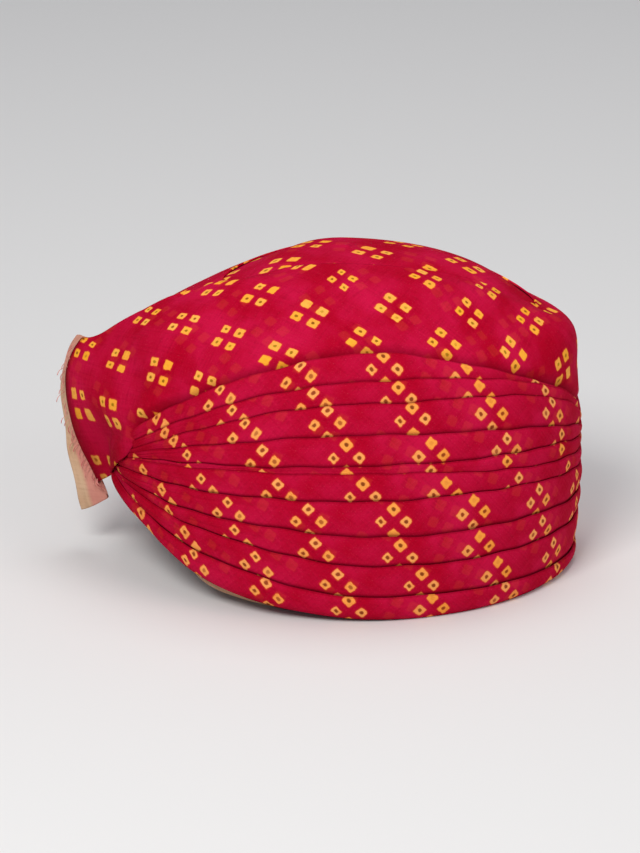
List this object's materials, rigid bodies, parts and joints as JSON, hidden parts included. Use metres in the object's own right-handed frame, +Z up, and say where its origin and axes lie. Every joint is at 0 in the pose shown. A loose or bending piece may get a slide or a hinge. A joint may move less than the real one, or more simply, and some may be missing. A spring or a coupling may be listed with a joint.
{
  "type": "tied turban",
  "caption": "Tied cloth turban with fanned folds gathered at the back, a smooth wrap over the crown and a loose tail, hollow for a head.",
  "frame": {"origin": "on the floor plane of the rim, under the middle of the turban's whole length with its tail", "axes": "+X to the front, +Y to the wearer's left, +Z up; the near side with the tail's free edge faces -Y"},
  "size_m": [0.2552, 0.1954, 0.154],
  "materials": {
    "red_cotton": "matt thin cotton, crimson; the yellow print is added in the looks",
    "wound_red_cotton": "matt cotton, the inner turns",
    "undyed_lining": "matt undyed cream cotton"
  },
  "bodies": {
    "root": {"pleat_01": "red_cotton", "pleat_02": "red_cotton", "pleat_03": "red_cotton", "pleat_04": "red_cotton", "pleat_05": "red_cotton", "pleat_06": "red_cotton", "pleat_07": "red_cotton", "pleat_08": "red_cotton", "pleat_09": "red_cotton", "pleat_10": "red_cotton", "crown_cap": "red_cotton", "smooth_turn": "red_cotton", "wound_wall": "wound_red_cotton", "lining": "undyed_lining", "tail_lining": "undyed_lining"}
  },
  "joints": []
}
